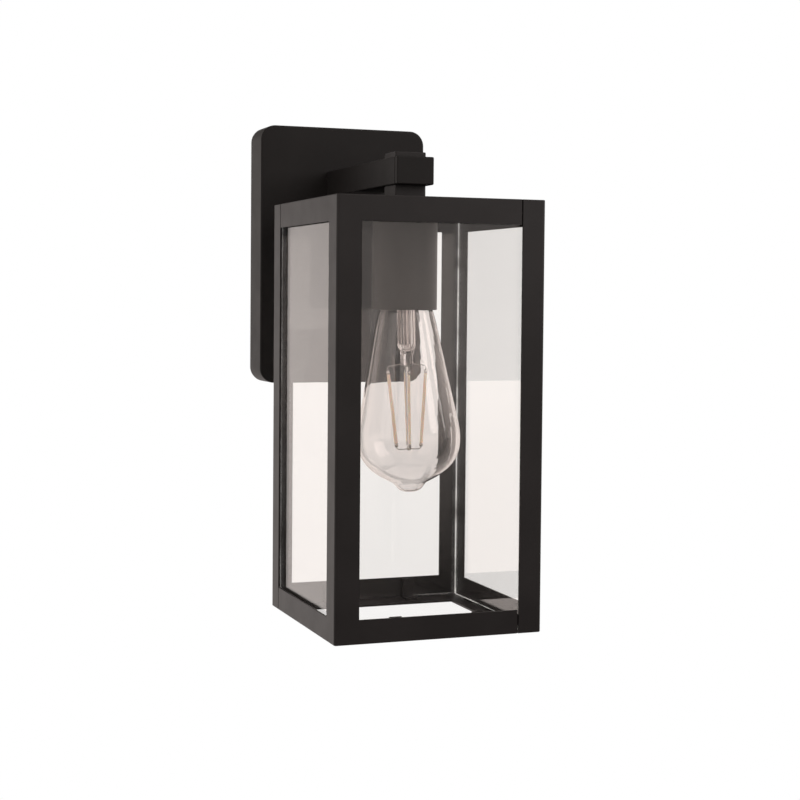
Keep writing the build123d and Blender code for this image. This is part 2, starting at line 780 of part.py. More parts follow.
seal_hole = upright(nipple_radius + nipple_clearance, 0, 50)
save("roof_seal", upright(11.5, cup_top, roof_under) - seal_hole)
save("holder_cup", holder_cup())
save("holder_lock_washer", Pos(0, axis_y, nut_high + washer_thick / 2) * lock_washer())
save("holder_lock_nut", Pos(0, axis_y, nut_high - nut_thick / 2) * lock_nut())
roof_nipple = chamfer(upright(nipple_radius, roof_nipple_low, roof_nipple_high).edges(), 0.5)
save("roof_nipple", roof_nipple - upright(nipple_bore, 0, 50))
save("holder_body", holder_body())
save("holder_shell", holder_shell())
save("holder_contact", holder_contact())
save("holder_terminals", holder_terminal(1), holder_terminal(-1))
save("holder_terminal_screws", holder_terminal_screw(1), holder_terminal_screw(-1))

save("bulb_glass", seat_lamp(bulb_glass()))
save("bulb_cap", seat_lamp(bulb_cap()))
save("bulb_insulator", seat_lamp(bulb_insulator()))
save("bulb_contact", seat_lamp(bulb_contact()))
save("bulb_stem", seat_lamp(bulb_stem()))
save("bulb_filaments", *[seat_lamp(stick) for stick in bulb_filaments()])
save("bulb_leads", *[seat_lamp(lead) for lead in bulb_leads()])

save("live_wire", holder_wire(-1, poles[0]))
save("neutral_wire", holder_wire(1, poles[1]))
save("earth_wire", earth_wire())
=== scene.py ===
# %% [markdown]
# # Outdoor wall lantern
# A square glazed box of folded black sheet hangs from a short arm on a rounded wall plate.
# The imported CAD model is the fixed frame: its folded sheets, tubes and wall plate stay as they are and
# only get better finishes. This lesson adds what CAD leaves plain: the float glass with ground edges,
# the blown filament lamp with its rolled thread, the lock washers, the clips and pads of the panes, and
# every finish.

# %% Load the frame
import json
import math

import bmesh
import bpy
from mathutils import Matrix, Vector


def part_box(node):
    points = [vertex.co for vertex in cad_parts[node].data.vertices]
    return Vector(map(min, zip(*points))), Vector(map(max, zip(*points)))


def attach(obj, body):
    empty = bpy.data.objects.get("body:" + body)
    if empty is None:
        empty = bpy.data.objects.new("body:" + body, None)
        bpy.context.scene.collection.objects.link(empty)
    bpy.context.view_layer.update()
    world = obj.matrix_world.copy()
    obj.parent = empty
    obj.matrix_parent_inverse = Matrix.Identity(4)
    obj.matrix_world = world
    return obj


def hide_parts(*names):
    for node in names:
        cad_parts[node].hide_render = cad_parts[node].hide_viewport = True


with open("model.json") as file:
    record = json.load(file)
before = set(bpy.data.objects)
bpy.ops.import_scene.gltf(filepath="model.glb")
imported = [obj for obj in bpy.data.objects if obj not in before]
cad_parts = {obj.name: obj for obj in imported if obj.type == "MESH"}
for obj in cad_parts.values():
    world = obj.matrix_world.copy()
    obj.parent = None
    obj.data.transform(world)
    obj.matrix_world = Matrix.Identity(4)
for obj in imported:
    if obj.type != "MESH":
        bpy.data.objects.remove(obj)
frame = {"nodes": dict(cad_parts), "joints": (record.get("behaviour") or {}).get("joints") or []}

scene = bpy.context.scene
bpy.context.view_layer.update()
nodes = frame["nodes"]
MM = 0.001

# %% [markdown]
# ## Places on the lantern
# Every place comes from the frame. The lantern's box is read from the back-right folded half, the lamp's
# axis from the joint that it turns on. The lamp's own pieces are made upright, tip at height 0,
# and `lamp_seat` stands them in the holder with the small lean that the frame gives.

# %% Read the places
low_corner, high_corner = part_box("back_right_frame")
axis_y = (low_corner.y + high_corner.y) / 2
body_low, body_high = low_corner.z, high_corner.z
half = (high_corner.x - low_corner.x) / 2
turn_joint = next(j for j in frame["joints"] if j["name"] == "bulb_turn")
lamp_pivot = Vector(turn_joint["pos_m"])
lamp_up = -Vector(turn_joint["axis"])

LAMP_LENGTH = 146 * MM
CAP_LENGTH = 27 * MM
CAP_LOW = LAMP_LENGTH - CAP_LENGTH
PIVOT_HEIGHT = LAMP_LENGTH - CAP_LENGTH / 2
lamp_seat = (Matrix.Translation(lamp_pivot)
             @ Vector((0, 0, 1)).rotation_difference(lamp_up).to_matrix().to_4x4()
             @ Matrix.Translation((0, 0, -PIVOT_HEIGHT)))
print("body half width", round(half, 4), "axis y", round(axis_y, 4))
print("lamp tip", lamp_seat @ Vector((0, 0, 0)))

# %% [markdown]
# ## Camera
# The lantern is seen from its left and a little above the middle of its body, from about a metre.
# A real lens of about 73 mm gives the same gentle perspective. The small vertical shift keeps the
# lantern in the middle of the frame while the camera stays almost level.

# %% Camera
CAMERA_PLACE = (-0.3495, -1.0801, -0.0292)
CAMERA_YAW = math.radians(20.404)
CAMERA_PITCH = math.radians(-2.252)
CAMERA_ROLL = math.radians(0.499)
CAMERA_LENS = 72.55
CAMERA_SENSOR = 36
CAMERA_SHIFT = -0.0474


def look_matrix(place, yaw, pitch, roll):
    """Camera matrix from a place and three angles; yaw 0 looks along +Y."""
    forward = Vector((math.sin(yaw) * math.cos(pitch), math.cos(yaw) * math.cos(pitch), math.sin(pitch)))
    level = Vector((math.cos(yaw), -math.sin(yaw), 0))
    above = level.cross(forward)
    right = math.cos(roll) * level + math.sin(roll) * above
    up = math.cos(roll) * above - math.sin(roll) * level
    turned = Matrix((right, up, -forward)).transposed().to_4x4()
    return Matrix.Translation(place) @ turned


camera_data = bpy.data.cameras.new("camera")
camera_data.lens = CAMERA_LENS
camera_data.sensor_width = CAMERA_SENSOR
camera_data.shift_y = CAMERA_SHIFT
camera = bpy.data.objects.new("camera", camera_data)
camera.matrix_world = look_matrix(CAMERA_PLACE, CAMERA_YAW, CAMERA_PITCH, CAMERA_ROLL)
scene.collection.objects.link(camera)
scene.camera = camera

# %% [markdown]
# ## Studio
# A white studio: the sky is white where it is seen, directly or through glass. As a light it is white
# only behind the lantern and dim in front of it, as in a room with a lit backdrop and a dark camera
# side. So the faces turned to the front stay deep black, and the sides and the glass catch the backdrop.
# What is reflected is slightly warm. Two large soft lamps stand in front, one at each side. The floor is a
# plain pale sheet; in reflections its far part is as bright as the haze above it, so no horizon shows.

# %% Sky, lamps and floor
FRONT_GLOSS_LOW = 0.09
FRONT_GLOSS_HIGH = 0.74
FRONT_LIGHT = 0.30
BACK_LOW = 1.6
BACK_HIGH = 0.18
HAZE_NEAR = -2.6
HAZE_FAR = -8.5
ROOM_TINT = (1.0, 0.915, 0.875, 1)
FLOOR_DROP = 0.42
FLOOR_REACH = 30.0
LIGHT_BOUNCES = 24
CLEAR_BOUNCES = 32
scene.view_settings.view_transform = "Standard"
scene.cycles.max_bounces = LIGHT_BOUNCES
scene.cycles.transmission_bounces = LIGHT_BOUNCES
scene.cycles.transparent_max_bounces = CLEAR_BOUNCES


def add_node(tree, kind, operation=None, **settings):
    """A node with its operation and its socket values set."""
    node = tree.nodes.new(kind)
    if operation:
        node.operation = operation
    for label, value in settings.items():
        node.inputs[label.replace("_", " ")].default_value = value
    return node


def straight_view(tree):
    """1 where the eye looks straight at a thing or only through glass, 0 after any reflection."""
    path = add_node(tree, "ShaderNodeLightPath")
    bounces = add_node(tree, "ShaderNodeMath", "ADD")
    tree.links.new(path.outputs["Glossy Depth"], bounces.inputs[0])
    tree.links.new(path.outputs["Diffuse Depth"], bounces.inputs[1])
    straight = add_node(tree, "ShaderNodeMath", "LESS_THAN")
    straight.inputs[1].default_value = 0.5
    tree.links.new(bounces.outputs[0], straight.inputs[0])
    return straight.outputs[0], path.outputs["Is Glossy Ray"]


def room_tint(tree, straight):
    """White to the eye, the room's warm tint in reflections."""
    tint = add_node(tree, "ShaderNodeMixRGB", Color1=ROOM_TINT, Color2=(1, 1, 1, 1))
    tree.links.new(straight, tint.inputs["Fac"])
    return tint.outputs[0]


def build_sky():
    """White to the eye and behind the lantern, dim in front of it."""
    world = bpy.data.worlds.new("studio")
    scene.world = world
    world.use_nodes = True
    tree = world.node_tree
    tree.nodes.clear()
    out = add_node(tree, "ShaderNodeOutputWorld")
    straight, glossy = straight_view(tree)
    way = add_node(tree, "ShaderNodeTexCoord")
    split = add_node(tree, "ShaderNodeSeparateXYZ")
    tree.links.new(way.outputs["Generated"], split.inputs[0])
    behind = add_node(tree, "ShaderNodeMapRange", From_Min=-0.35, From_Max=0.15)
    tree.links.new(split.outputs["Y"], behind.inputs["Value"])
    haze = add_node(tree, "ShaderNodeMapRange", From_Min=-0.5, From_Max=-0.06,
                    To_Min=FRONT_GLOSS_LOW, To_Max=FRONT_GLOSS_HIGH)
    tree.links.new(split.outputs["Z"], haze.inputs["Value"])
    back = add_node(tree, "ShaderNodeMapRange", From_Min=-0.25, From_Max=0.4,
                    To_Min=BACK_LOW, To_Max=BACK_HIGH)
    tree.links.new(split.outputs["Z"], back.inputs["Value"])
    front = add_node(tree, "ShaderNodeMix", A=FRONT_LIGHT)
    tree.links.new(glossy, front.inputs["Factor"])
    tree.links.new(haze.outputs[0], front.inputs["B"])
    level = add_node(tree, "ShaderNodeMix")
    tree.links.new(behind.outputs[0], level.inputs["Factor"])
    tree.links.new(front.outputs[0], level.inputs["A"])
    tree.links.new(back.outputs[0], level.inputs["B"])
    seen = add_node(tree, "ShaderNodeMix", B=1.0)
    tree.links.new(straight, seen.inputs["Factor"])
    tree.links.new(level.outputs[0], seen.inputs["A"])
    sky = add_node(tree, "ShaderNodeBackground")
    tree.links.new(room_tint(tree, straight), sky.inputs["Color"])
    tree.links.new(seen.outputs[0], sky.inputs["Strength"])
    tree.links.new(sky.outputs[0], out.inputs["Surface"])


def soft_lamp(name, place, target, size, power, colour):
    """A square area lamp that looks at a point."""
    data = bpy.data.lights.new(name, "AREA")
    data.size = size
    data.energy = power
    data.color = colour
    lamp = bpy.data.objects.new(name, data)
    aim = (Vector(target) - Vector(place)).to_track_quat("-Z", "Y")
    lamp.matrix_world = Matrix.Translation(place) @ aim.to_matrix().to_4x4()
    scene.collection.objects.link(lamp)
    return lamp


body_middle = (0, axis_y, (body_low + body_high) / 2)
build_sky()
soft_lamp("left_softbox", (-1.3, -0.9, 0.55), body_middle, size=1.7, power=4.5, colour=(1.0, 0.95, 0.92))
soft_lamp("right_softbox", (1.2, -1.1, 0.7), body_middle, size=1.3, power=12, colour=(1.0, 0.96, 0.95))


def build_floor():
    """Large pale floor; it is white to the eye and a soft bounce to the lantern."""
    mesh = bpy.data.meshes.new("floor")
    reach = FLOOR_REACH
    z = body_low - FLOOR_DROP
    mesh.from_pydata([(-reach, -reach, z), (reach, -reach, z), (reach, reach, z), (-reach, reach, z)],
                     [], [(0, 1, 2, 3)])
    floor = bpy.data.objects.new("floor", mesh)
    scene.collection.objects.link(floor)
    material = bpy.data.materials.new("pale_floor")
    material.use_nodes = True
    tree = material.node_tree
    tree.nodes.clear()
    out = add_node(tree, "ShaderNodeOutputMaterial")
    straight, glossy = straight_view(tree)
    glows = add_node(tree, "ShaderNodeMath", "MAXIMUM")
    tree.links.new(straight, glows.inputs[0])
    tree.links.new(glossy, glows.inputs[1])
    matt = add_node(tree, "ShaderNodeBsdfDiffuse", Color=(0.82, 0.81, 0.80, 1))
    glow = add_node(tree, "ShaderNodeEmission")
    where = add_node(tree, "ShaderNodeTexCoord")
    split = add_node(tree, "ShaderNodeSeparateXYZ")
    tree.links.new(where.outputs["Object"], split.inputs[0])
    behind = add_node(tree, "ShaderNodeMapRange", From_Min=-0.7, From_Max=0.0, To_Min=FRONT_GLOSS_LOW)
    tree.links.new(split.outputs["Y"], behind.inputs["Value"])
    far = add_node(tree, "ShaderNodeMapRange", From_Min=HAZE_NEAR, From_Max=HAZE_FAR,
                   To_Min=FRONT_GLOSS_LOW, To_Max=FRONT_GLOSS_HIGH)
    tree.links.new(split.outputs["Y"], far.inputs["Value"])
    bounce = add_node(tree, "ShaderNodeMath", "MAXIMUM")
    tree.links.new(behind.outputs[0], bounce.inputs[0])
    tree.links.new(far.outputs[0], bounce.inputs[1])
    level = add_node(tree, "ShaderNodeMath", "MAXIMUM")
    tree.links.new(straight, level.inputs[0])
    tree.links.new(bounce.outputs[0], level.inputs[1])
    tree.links.new(room_tint(tree, straight), glow.inputs["Color"])
    tree.links.new(level.outputs[0], glow.inputs["Strength"])
    mix = add_node(tree, "ShaderNodeMixShader")
    tree.links.new(glows.outputs[0], mix.inputs[0])
    tree.links.new(matt.outputs[0], mix.inputs[1])
    tree.links.new(glow.outputs[0], mix.inputs[2])
    tree.links.new(mix.outputs[0], out.inputs["Surface"])
    mesh.materials.append(material)


build_floor()

# %% [markdown]
# ## Finishes
# One helper starts a principled material and another lays noise over it. Patterns read Object
# coordinates in metres, so their scale is the real one: the powder coat's orange peel is about a
# millimetre across. What is constant is set on the shader's own sockets.


# %% Material helpers
STRIPES_PER_METRE = 45


def start_finish(name, metallic=0.0, roughness=0.5, **sockets):
    """A principled material; returns the material, its tree and its shader."""
    material = bpy.data.materials.new(name)
    material.use_nodes = True
    tree = material.node_tree
    shader = next(n for n in tree.nodes if n.type == "BSDF_PRINCIPLED")
    shader.inputs["Metallic"].default_value = metallic
    shader.inputs["Roughness"].default_value = roughness
    for label, value in sockets.items():
        shader.inputs[label.replace("_", " ")].default_value = value
    return material, tree, shader


def place_noise(tree, scale, detail=3.0, stretch=(1, 1, 1)):
    """Noise on Object coordinates; scale is in features per metre."""
    where = tree.nodes.new("ShaderNodeTexCoord")
    mapping = tree.nodes.new("ShaderNodeMapping")
    mapping.inputs["Scale"].default_value = stretch
    tree.links.new(where.outputs["Object"], mapping.inputs["Vector"])
    noise = tree.nodes.new("ShaderNodeTexNoise")
    noise.inputs["Scale"].default_value = scale
    noise.inputs["Detail"].default_value = detail
    tree.links.new(mapping.outputs["Vector"], noise.inputs["Vector"])
    return noise


def shade_between(tree, source, dark, light, low=0.35, high=0.65):
    """A colour ramp from dark to light driven by a noise."""
    ramp = tree.nodes.new("ShaderNodeValToRGB")
    ramp.color_ramp.elements[0].position = low
    ramp.color_ramp.elements[0].color = (*dark, 1)
    ramp.color_ramp.elements[1].position = high
    ramp.color_ramp.elements[1].color = (*light, 1)
    tree.links.new(source.outputs["Fac"], ramp.inputs["Fac"])
    return ramp


def range_roughness(tree, shader, source, low, high):
    """Roughness that wanders between two values."""
    spread = tree.nodes.new("ShaderNodeMapRange")
    spread.inputs["To Min"].default_value = low
    spread.inputs["To Max"].default_value = high
    tree.links.new(source.outputs["Fac"], spread.inputs["Value"])
    tree.links.new(spread.outputs["Result"], shader.inputs["Roughness"])


def raise_bump(tree, shader, source, depth, strength=1.0):
    """Bump from a noise, depth in metres."""
    bump = tree.nodes.new("ShaderNodeBump")
    bump.inputs["Strength"].default_value = strength
    bump.inputs["Distance"].default_value = depth
    tree.links.new(source.outputs["Fac"], bump.inputs["Height"])
    tree.links.new(bump.outputs["Normal"], shader.inputs["Normal"])


def powder_coat(name, dark, light, rough=(0.42, 0.6), peel=1100, depth=0.00003, shine=0.28):
    """Matt powder coat: faint colour drift, orange-peel bump and a wandering sheen."""
    material, tree, shader = start_finish(name, Specular_IOR_Level=shine)
    drift = place_noise(tree, 22, 4)
    colour = shade_between(tree, drift, dark, light)
    tree.links.new(colour.outputs["Color"], shader.inputs["Base Color"])
    fine = place_noise(tree, peel, 2)
    raise_bump(tree, shader, fine, depth)
    range_roughness(tree, shader, place_noise(tree, 60, 3), *rough)
    return material


def drawn_metal(name, dark, light, rough=(0.22, 0.4), stretch=(1, 1, 12), scale=300, depth=0.00001):
    """Plated or drawn metal with fine lines along one way."""
    material, tree, shader = start_finish(name, metallic=1.0)
    lines = place_noise(tree, scale, 4, stretch)
    colour = shade_between(tree, lines, dark, light)
    tree.links.new(colour.outputs["Color"], shader.inputs["Base Color"])
    range_roughness(tree, shader, lines, *rough)
    raise_bump(tree, shader, lines, depth)
    return material


def moulded(name, dark, light, rough=(0.35, 0.5), scale=400, depth=0.00001, **sockets):
    """Moulded or sleeved material: rubber, nylon, silicone, porcelain."""
    material, tree, shader = start_finish(name, **sockets)
    grain = place_noise(tree, scale, 3)
    colour = shade_between(tree, grain, dark, light)
    tree.links.new(colour.outputs["Color"], shader.inputs["Base Color"])
    range_roughness(tree, shader, grain, *rough)
    raise_bump(tree, shader, grain, depth)
    return material


def striped_sleeve(name, ground, stripe):
    """Earth wire sleeve: yellow stripes that wind round a green ground."""
    material, tree, shader = start_finish(name)
    where = tree.nodes.new("ShaderNodeTexCoord")
    bands = tree.nodes.new("ShaderNodeTexWave")
    bands.bands_direction = "DIAGONAL"
    bands.inputs["Scale"].default_value = STRIPES_PER_METRE
    bands.inputs["Distortion"].default_value = 0.6
    tree.links.new(where.outputs["Object"], bands.inputs["Vector"])
    colour = shade_between(tree, bands, ground[:3], stripe[:3], 0.52, 0.60)
    tree.links.new(colour.outputs["Color"], shader.inputs["Base Color"])
    grain = place_noise(tree, 700, 3)
    range_roughness(tree, shader, grain, 0.4, 0.55)
    raise_bump(tree, shader, grain, 0.00001)
    return material


def clear_pane_glass():
    """Float glass that lets the lamps' light through: transparent to shadow rays."""
    material, tree, shader = start_finish("pane_glass", roughness=0.0, IOR=1.5, Transmission_Weight=1.0)
    shader.inputs["Base Color"].default_value = (0.982, 0.966, 0.952, 1)
    out = next(n for n in tree.nodes if n.type == "OUTPUT_MATERIAL")
    path = tree.nodes.new("ShaderNodeLightPath")
    clear = tree.nodes.new("ShaderNodeBsdfTransparent")
    clear.inputs["Color"].default_value = (0.92, 0.92, 0.91, 1)
    mix = tree.nodes.new("ShaderNodeMixShader")
    tree.links.new(path.outputs["Is Shadow Ray"], mix.inputs[0])
    tree.links.new(shader.outputs[0], mix.inputs[1])
    tree.links.new(clear.outputs[0], mix.inputs[2])
    tree.links.new(mix.outputs[0], out.inputs["Surface"])
    return material


def blown_glass(name, tint):
    """Clear lamp glass."""
    material, tree, shader = start_finish(name, roughness=0.0, IOR=1.5, Transmission_Weight=1.0)
    shader.inputs["Base Color"].default_value = (*tint, 1)
    ripple = place_noise(tree, 150, 2, (1, 1, 0.08))
    raise_bump(tree, shader, ripple, 0.0003, 0.3)
    return material


# %% The finishes
BLACK_COAT = powder_coat("black_powder_coat", (0.012, 0.0098, 0.0095), (0.018, 0.0152, 0.0148),
                         (0.36, 0.48))
# Painted shade: the canopy and arm take a slightly darker copy of the black coat with less sheen, as they sit in
# shade by the wall.
WALL_SIDE_SHADED_COAT = powder_coat("wall_side_shaded_powder_coat", (0.011, 0.0095, 0.0090), (0.016, 0.0140, 0.0132),
                        (0.42, 0.54), shine=0.17)
CUP_COAT = powder_coat("cup_powder_coat", (0.050, 0.043, 0.039), (0.064, 0.056, 0.051),
                       (0.38, 0.5), 1500, 0.00002)
BLACK_SCREW = powder_coat("black_oxide", (0.02, 0.02, 0.02), (0.035, 0.034, 0.033),
                          (0.3, 0.42), 2500, 0.00001)
RUBBER = moulded("black_rubber", (0.012, 0.012, 0.012), (0.025, 0.025, 0.024), (0.6, 0.8))
ZINC = drawn_metal("zinc_plate", (0.52, 0.53, 0.55), (0.70, 0.71, 0.72))
BRASS = drawn_metal("plain_brass", (0.62, 0.44, 0.18), (0.80, 0.61, 0.30), (0.2, 0.36))
TINNED = drawn_metal("tinned_copper", (0.60, 0.59, 0.58), (0.76, 0.75, 0.74))
NICKEL = drawn_metal("nickel_plate", (0.60, 0.58, 0.55), (0.74, 0.72, 0.69), (0.18, 0.3))
SOLDER = drawn_metal("dull_solder", (0.42, 0.42, 0.43), (0.60, 0.60, 0.62),
                     (0.35, 0.55), (1, 1, 1), 900, 0.00004)
NYLON = moulded("white_nylon", (0.78, 0.78, 0.75), (0.86, 0.86, 0.83), (0.35, 0.5))
PORCELAIN = moulded("glazed_porcelain", (0.80, 0.79, 0.75), (0.88, 0.87, 0.83), (0.12, 0.2), 90, 0.00002)
GLAZE = moulded("black_glass_glaze", (0.008, 0.008, 0.012), (0.02, 0.02, 0.025), (0.08, 0.16), 200)
# The phosphor's emission is a painted glow: the lamp is not lit, and it stands in for light scattered through the
# translucent coat.
PHOSPHOR_PAINTED_GLOW = moulded("amber_phosphor_painted_glow", (0.94, 0.74, 0.55), (0.98, 0.84, 0.70), (0.5, 0.7), 1500, 0.00005,
                   Subsurface_Weight=0.85, Subsurface_Scale=0.0015, Emission_Color=(1.0, 0.80, 0.62, 1),
                   Emission_Strength=0.30)
BROWN = moulded("brown_silicone", (0.13, 0.055, 0.02), (0.17, 0.075, 0.03), (0.4, 0.55))
BLUE = moulded("blue_silicone", (0.02, 0.09, 0.34), (0.03, 0.12, 0.42), (0.4, 0.55))
GREEN = striped_sleeve("green_yellow_silicone", (0.07, 0.29, 0.03, 1), (0.78, 0.62, 0.04, 1))
PANE = clear_pane_glass()
LAMP_GLASS = blown_glass("lamp_glass", (0.925, 0.90, 0.89))
print("finishes:", len(bpy.data.materials))


# %% Dress the CAD nodes
def dress(material, *names):
    """Give CAD nodes a finish through their material slots."""
    for name in names:
        mesh = nodes[name].data
        mesh.materials.clear()
        mesh.materials.append(material)


dress(WALL_SIDE_SHADED_COAT, "canopy_shell", "arm_tube", "arm_end_cap")
dress(BLACK_COAT, "neck_post", "neck_top_plug", "front_left_frame", "back_right_frame",
      "seam_straps", "roof_pan", "glass_tabs")
dress(CUP_COAT, "holder_cup")
dress(BLACK_SCREW, "canopy_screws")
dress(RUBBER, "wall_gasket", "cable_grommet", "glass_pads", "roof_seal")
dress(ZINC, "mounting_plate", "mounting_ears", "terminal_screws", "terminal_block_screws",
      "arm_rear_plug", "arm_nipple", "arm_lock_washer", "arm_lock_nut", "neck_foot_plug",
      "holder_lock_washer", "holder_lock_nut", "roof_nipple", "holder_terminal_screws")
dress(BRASS, "terminal_sleeves", "earth_screw", "earth_washer", "holder_shell", "holder_contact",
      "holder_terminals")
dress(TINNED, "earth_ring")
dress(NYLON, "terminal_block")
dress(PORCELAIN, "holder_body")
dress(PANE, "front_pane", "back_pane", "left_pane", "right_pane")
dress(LAMP_GLASS, "bulb_glass", "bulb_stem")
dress(NICKEL, "bulb_cap", "bulb_leads")
dress(GLAZE, "bulb_insulator")
dress(SOLDER, "bulb_contact")
dress(PHOSPHOR_PAINTED_GLOW, "bulb_filaments")
dress(BROWN, "live_wire")
dress(BLUE, "neutral_wire")
dress(GREEN, "earth_wire")

# %% [markdown]
# ## Helpers for turned and swept pieces
# Glass, caps and shells are turned shapes: a closed outline goes round the axis, so the wall has a real
# thickness and the shape is one closed skin. A screw thread is the same turned shape whose radius also
# depends on the angle. Wires are a small circle that follows a line. Each helper finishes a piece the
# same way: doubles merged, faces outwards, soft shading with sharp creases, riding on its body.


# %% Piece helpers
def finish_piece(name, bm, materials, body, stands_for=(), place=None, crease=35):
    """Turn a bmesh into a finished piece at the origin, on its body, with its finishes."""
    if place is not None:
        bmesh.ops.transform(bm, matrix=place, verts=bm.verts)
    bmesh.ops.remove_doubles(bm, verts=bm.verts, dist=1e-6)
    bmesh.ops.recalc_face_normals(bm, faces=bm.faces)
    mesh = bpy.data.meshes.new(name)
    bm.to_mesh(mesh)
    bm.free()
    return place_piece(name, mesh, materials, body, stands_for, crease)


def place_piece(name, mesh, materials, body, stands_for=(), crease=35):
    """Link a finished mesh and hand it to the frame."""
    mesh.name = name
    if mesh.materials:          # clearing also sets every face back to the first finish
        mesh.materials.clear()
    for material in materials:
        mesh.materials.append(material)
    mesh.shade_smooth()
    mesh.set_sharp_from_angle(angle=math.radians(crease))
    piece = bpy.data.objects.new(name, mesh)
    scene.collection.objects.link(piece)
    if stands_for:
        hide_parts(*stands_for)
    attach(piece, body)
    print(name, "faces:", len(mesh.polygons))
    return piece


def curve_step(p0, p1, p2, p3, t):
    """A point between p1 and p2 on the smooth curve through four marks."""
    return 0.5 * (2 * p1 + (p2 - p0) * t + (2 * p0 - 5 * p1 + 4 * p2 - p3) * t * t
                  + (3 * p1 - p0 - 3 * p2 + p3) * t ** 3)


def smooth_through(marks, per_span=8):
    """A smooth line through a few (radius, height) marks."""
    ends = [marks[0], *marks, marks[-1]]
    line = []
    for k in range(1, len(ends) - 2):
        p0, p1, p2, p3 = (Vector(ends[k + d]) for d in (-1, 0, 1, 2))
        for step in range(per_span):
            line.append(curve_step(p0, p1, p2, p3, step / per_span))
    line.append(Vector(marks[-1]))
    return [tuple(p) for p in line]


def inset_line(line, depth):
    """The same line moved inwards by the wall's thickness; what reaches the axis stays on it."""
    moved = []
    for k, (radius, height) in enumerate(line):
        before = Vector(line[max(k - 1, 0)])
        after = Vector(line[min(k + 1, len(line) - 1)])
        along = (after - before).normalized()
        moved.append((max(radius - along.y * depth, 0), height + along.x * depth))
    moved[0] = (0, line[0][1] + depth)
    return moved


def turn_shape(bm, outline, steps=96, swell=None):
    """Turn a closed outline of (radius, height) or (x radius, y radius, height), in millimetres."""
    rings = []
    for mark in outline:
        wide, deep, height = mark if len(mark) == 3 else (mark[0], mark[0], mark[1])
        if wide < 1e-4:
            rings.append([bm.verts.new((0, 0, height * MM))])
            continue
        ring = []
        for k in range(steps):
            angle = 2 * math.pi * k / steps
            more = swell(wide, height, angle) if swell else 0
            ring.append(bm.verts.new(((wide + more) * math.cos(angle) * MM,
                                      (deep + more) * math.sin(angle) * MM, height * MM)))
        rings.append(ring)
    for low, high in zip(rings, rings[1:] + rings[:1]):
        join_rings(bm, low, high, steps)
    return bm


def join_rings(bm, low, high, steps):
    """Quads between two rings, or triangles where one of them is a pole."""
    if len(low) == 1 and len(high) == 1:
        return
    for k in range(steps):
        after = (k + 1) % steps
        corners = [low[k % len(low)], low[after % len(low)], high[after % len(high)], high[k % len(high)]]
        kept = []
        for corner in corners:
            if corner not in kept:
                kept.append(corner)
        bm.faces.new(kept)


def sweep_wire(bm, points, radius, steps=10):
    """A round wire along smooth points, in millimetres, with closed ends."""
    points = [Vector(p) for p in points]
    side = Vector((0, 0, 1))
    rings = []
    for k, point in enumerate(points):
        along = (points[min(k + 1, len(points) - 1)] - points[max(k - 1, 0)]).normalized()
        across = along.cross(side)
        if across.length < 1e-3:
            across = along.cross(Vector((1, 0, 0)))
        across.normalize()
        over = across.cross(along)
        rings.append([bm.verts.new((point + radius * (math.cos(a) * across + math.sin(a) * over)) * MM)
                      for a in (2 * math.pi * j / steps for j in range(steps))])
    for low, high in zip(rings, rings[1:]):
        join_rings(bm, low, high, steps)
    bm.faces.new(rings[0])
    bm.faces.new(rings[-1])
    return bm


def smooth_path(marks, per_span=6):
    """A smooth space line through a few marks."""
    ends = [Vector(marks[0]), *[Vector(m) for m in marks], Vector(marks[-1])]
    line = []
    for k in range(1, len(ends) - 2):
        p0, p1, p2, p3 = ends[k - 1:k + 3]
        for step in range(per_span):
            line.append(curve_step(p0, p1, p2, p3, step / per_span))
    return line + [ends[-1]]


# %% [markdown]
# ## Window glass
# Each pane is 3 mm float glass with a narrow bevel all round. Its upright edges are ground and finely
# frosted. Light that runs inside the sheet would come out there as bright lines at the corners of the box;
# a weak uneven glow is painted into those edges for it, a painted highlight. The edges at the top and foot lie
# in the rails and stay clear. The bevel is cut with bmesh, and the upright edges get their own glass.

# %% Window glass
def ground_edge_glass():
    """Finely ground glass for the pane's upright edges, with a painted glow for the light it pipes."""
    # The emission is painted light: an uneven glow on the upright edges stands in for light piped through the sheet.
    material, tree, shader = start_finish("ground_glass_edge_painted_glow", roughness=0.3, IOR=1.5,
                                          Transmission_Weight=0.2, Emission_Strength=0.5)
    grind = place_noise(tree, 900, 3, (1, 1, 0.25))
    colour = shade_between(tree, grind, (0.90, 0.91, 0.90), (0.99, 0.99, 0.98))
    tree.links.new(colour.outputs["Color"], shader.inputs["Base Color"])
    painted_edge_glow = shade_between(tree, place_noise(tree, 70, 4), (0.22, 0.22, 0.21), (1.0, 0.99, 0.97),
                             0.38, 0.55)
    tree.links.new(painted_edge_glow.outputs["Color"], shader.inputs["Emission Color"])
    range_roughness(tree, shader, grind, 0.15, 0.4)
    raise_bump(tree, shader, grind, 0.00008)
    return material


PANE_EDGE = ground_edge_glass()
PANE_BEVEL = 0.6 * MM


def window_pane(node):
    """A pane with the node's size, bevelled all round and frosted on its upright edges."""
    low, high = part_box(node)
    size = high - low
    thin = min(range(2), key=lambda axis: size[axis])
    bm = bmesh.new()
    place = Matrix.Translation((low + high) / 2) @ Matrix.Diagonal((*size, 1))
    bmesh.ops.create_cube(bm, size=1.0, matrix=place)
    bmesh.ops.bevel(bm, geom=list(bm.edges), offset=PANE_BEVEL, segments=1, affect="EDGES")
    bm.faces.ensure_lookup_table()
    bm.normal_update()
    for face in bm.faces:
        broad_face = abs(face.normal[thin]) > 0.99
        level_edge = abs(face.normal.z) > 0.5
        face.material_index = 0 if broad_face or level_edge else 1
    return finish_piece(node + "_glass", bm, [PANE, PANE_EDGE], "lantern", [node], crease=20)


for pane_node in ("front_pane", "back_pane", "left_pane", "right_pane"):
    window_pane(pane_node)

# %% [markdown]
# ## Lamp glass
# The bulb is blown: a round nub where it was sealed, a small waist above it, a wide belly and a straight
# cone up to the neck. A smooth line through a few marks gives the outside, the same line moved inwards
# gives the inside, and both are turned together, so light bends through a real wall.

